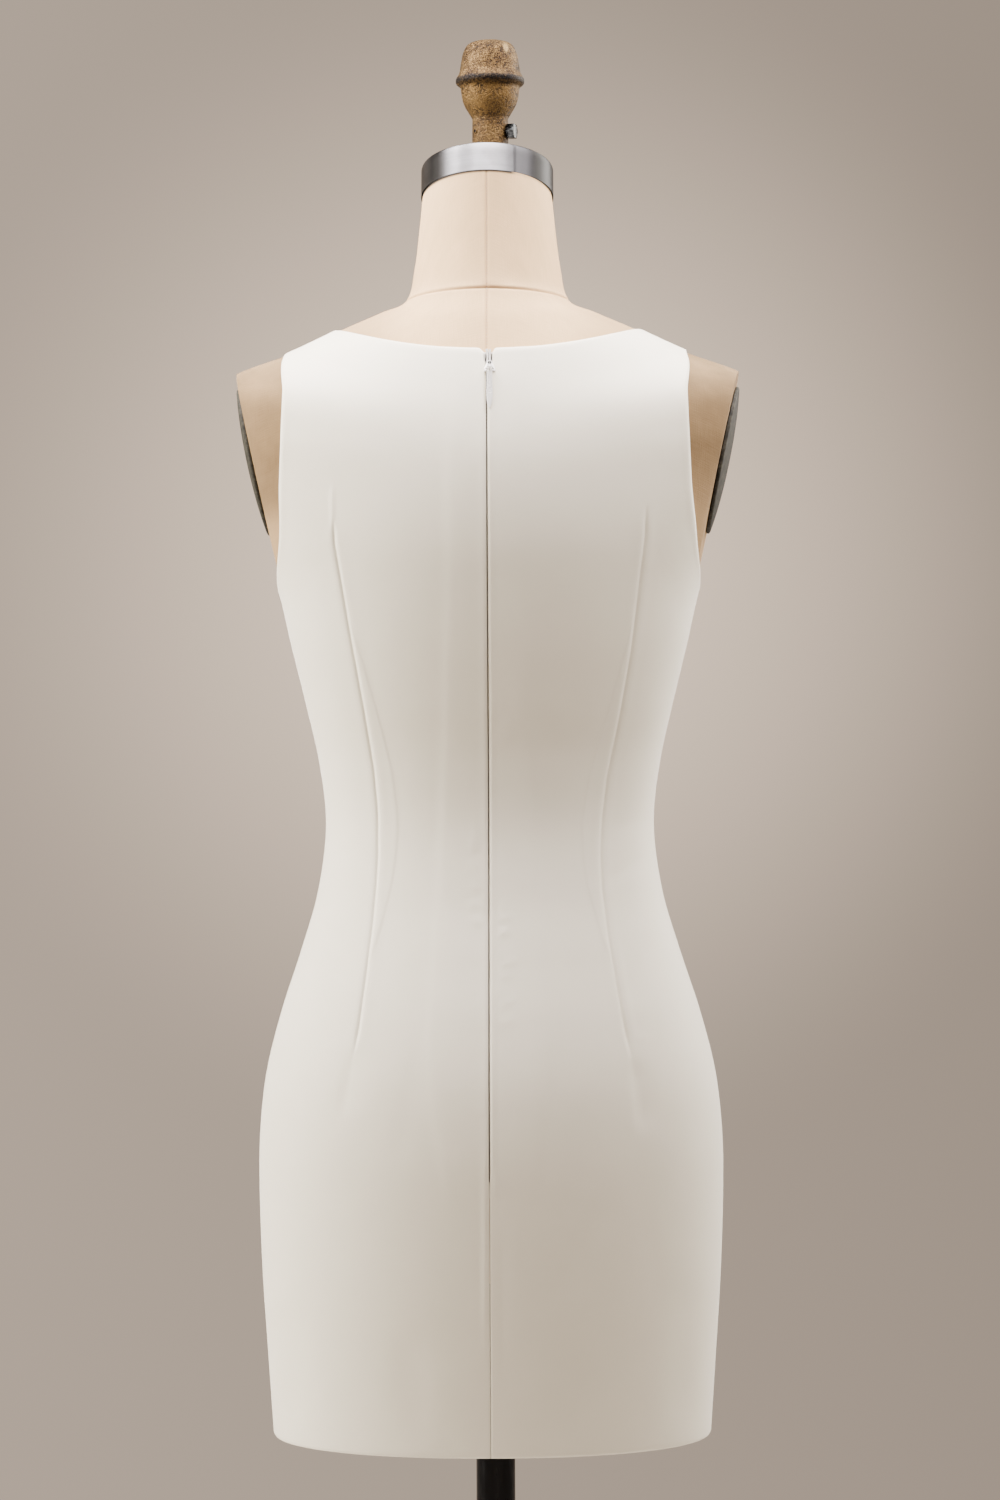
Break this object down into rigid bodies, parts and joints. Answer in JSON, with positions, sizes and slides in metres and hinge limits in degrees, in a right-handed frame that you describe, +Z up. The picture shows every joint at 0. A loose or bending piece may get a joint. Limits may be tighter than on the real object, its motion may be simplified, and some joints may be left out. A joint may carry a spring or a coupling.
{
  "type": "bodycon dress on a limbless dress form and stand",
  "caption": "Fitted sleeveless mini dress with a boat neck, back darts and a centre back zip, standing on a padded limbless dress form with a pole and a round base.",
  "frame": {"origin": "centre of the base's underside, on the pole's axis", "axes": "+Z up along the pole; the front of the dress faces -Y and its zipped back faces +Y"},
  "size_m": [0.4, 0.4, 1.6281],
  "materials": {
    "crepe": "ivory crepe, matt with a slight sheen",
    "zip_tape": "woven zip tape with a coil, ivory",
    "zip_metal": "satin cast metal",
    "canvas": "ecru linen canvas over padding",
    "plate_grey": "dark grey, satin",
    "steel": "brushed, lightly worn",
    "bronze": "antique bronze casting, textured",
    "pole_black": "gloss black"
  },
  "bodies": {
    "root": {"dress_front": "crepe", "dress_back_left": "crepe", "dress_back_right": "crepe", "zip_tape": "zip_tape", "zip_slider": "zip_metal", "form_body": "canvas", "arm_plate_left": "plate_grey", "arm_plate_right": "plate_grey", "neck_band": "steel", "set_bolt": "steel", "finial": "bronze", "pole": "pole_black", "base": "pole_black"},
    "zip_pull": {"zip_pull": "zip_metal"}
  },
  "joints": [
    {"name": "zip_pull_hinge", "type": "hinge", "parent": "root", "child": "zip_pull", "pos_m": [0.0002, 0.09283, 1.37342], "axis": [1, 0, 0], "range_deg": [0, 160]}
  ]
}
